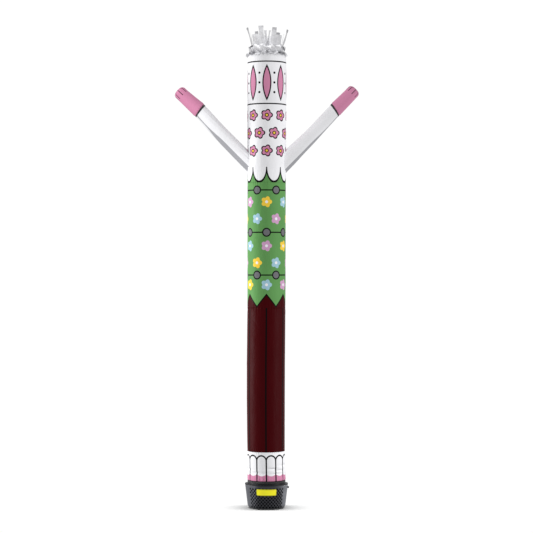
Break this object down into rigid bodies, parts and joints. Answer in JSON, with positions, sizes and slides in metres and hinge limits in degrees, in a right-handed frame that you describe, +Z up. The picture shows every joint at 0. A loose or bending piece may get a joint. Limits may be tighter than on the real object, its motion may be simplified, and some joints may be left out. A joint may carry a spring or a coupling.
{
  "type": "inflatable air dancer on blower",
  "caption": "Tall inflated cloth tube with raised side arms and a ribbon-fringed open top, strapped to the collar of a low round blower that stands on the ground.",
  "frame": {"origin": "middle of the blower's flat underside, on the surface that it stands on", "axes": "+Z up along the tube, +X towards the arm on the right as seen from the front, and the front faces -Y"},
  "size_m": [2.1888, 0.5152, 5.7315],
  "materials": {
    "white_cloth": "white coated ripstop nylon with a soft sheen",
    "maroon_cloth": "dark maroon coated ripstop nylon",
    "green_cloth": "green coated ripstop nylon with printed motifs",
    "pink_cloth": "pink coated ripstop nylon",
    "black_webbing": "black woven webbing",
    "ribbon_cloth": "thin, slightly see-through white nylon",
    "black_plastic": "moulded black plastic with a fine texture",
    "black_steel": "black painted sheet steel",
    "yellow_plate": "plain yellow printed plastic film"
  },
  "bodies": {
    "root": {"foot_panel": "white_cloth", "leg_panel": "maroon_cloth", "chest_panel": "green_cloth", "head_panel": "white_cloth", "sleeve_right": "white_cloth", "sleeve_left": "white_cloth", "hand_right": "pink_cloth", "hand_left": "pink_cloth", "cuff_right": "black_webbing", "cuff_left": "black_webbing", "crown_fringe": "ribbon_cloth", "hem_strap": "black_webbing", "blower_drum": "black_plastic", "blower_lid": "black_plastic", "fan_duct": "black_steel", "front_plate": "yellow_plate", "side_stud": "black_plastic"}
  },
  "joints": []
}
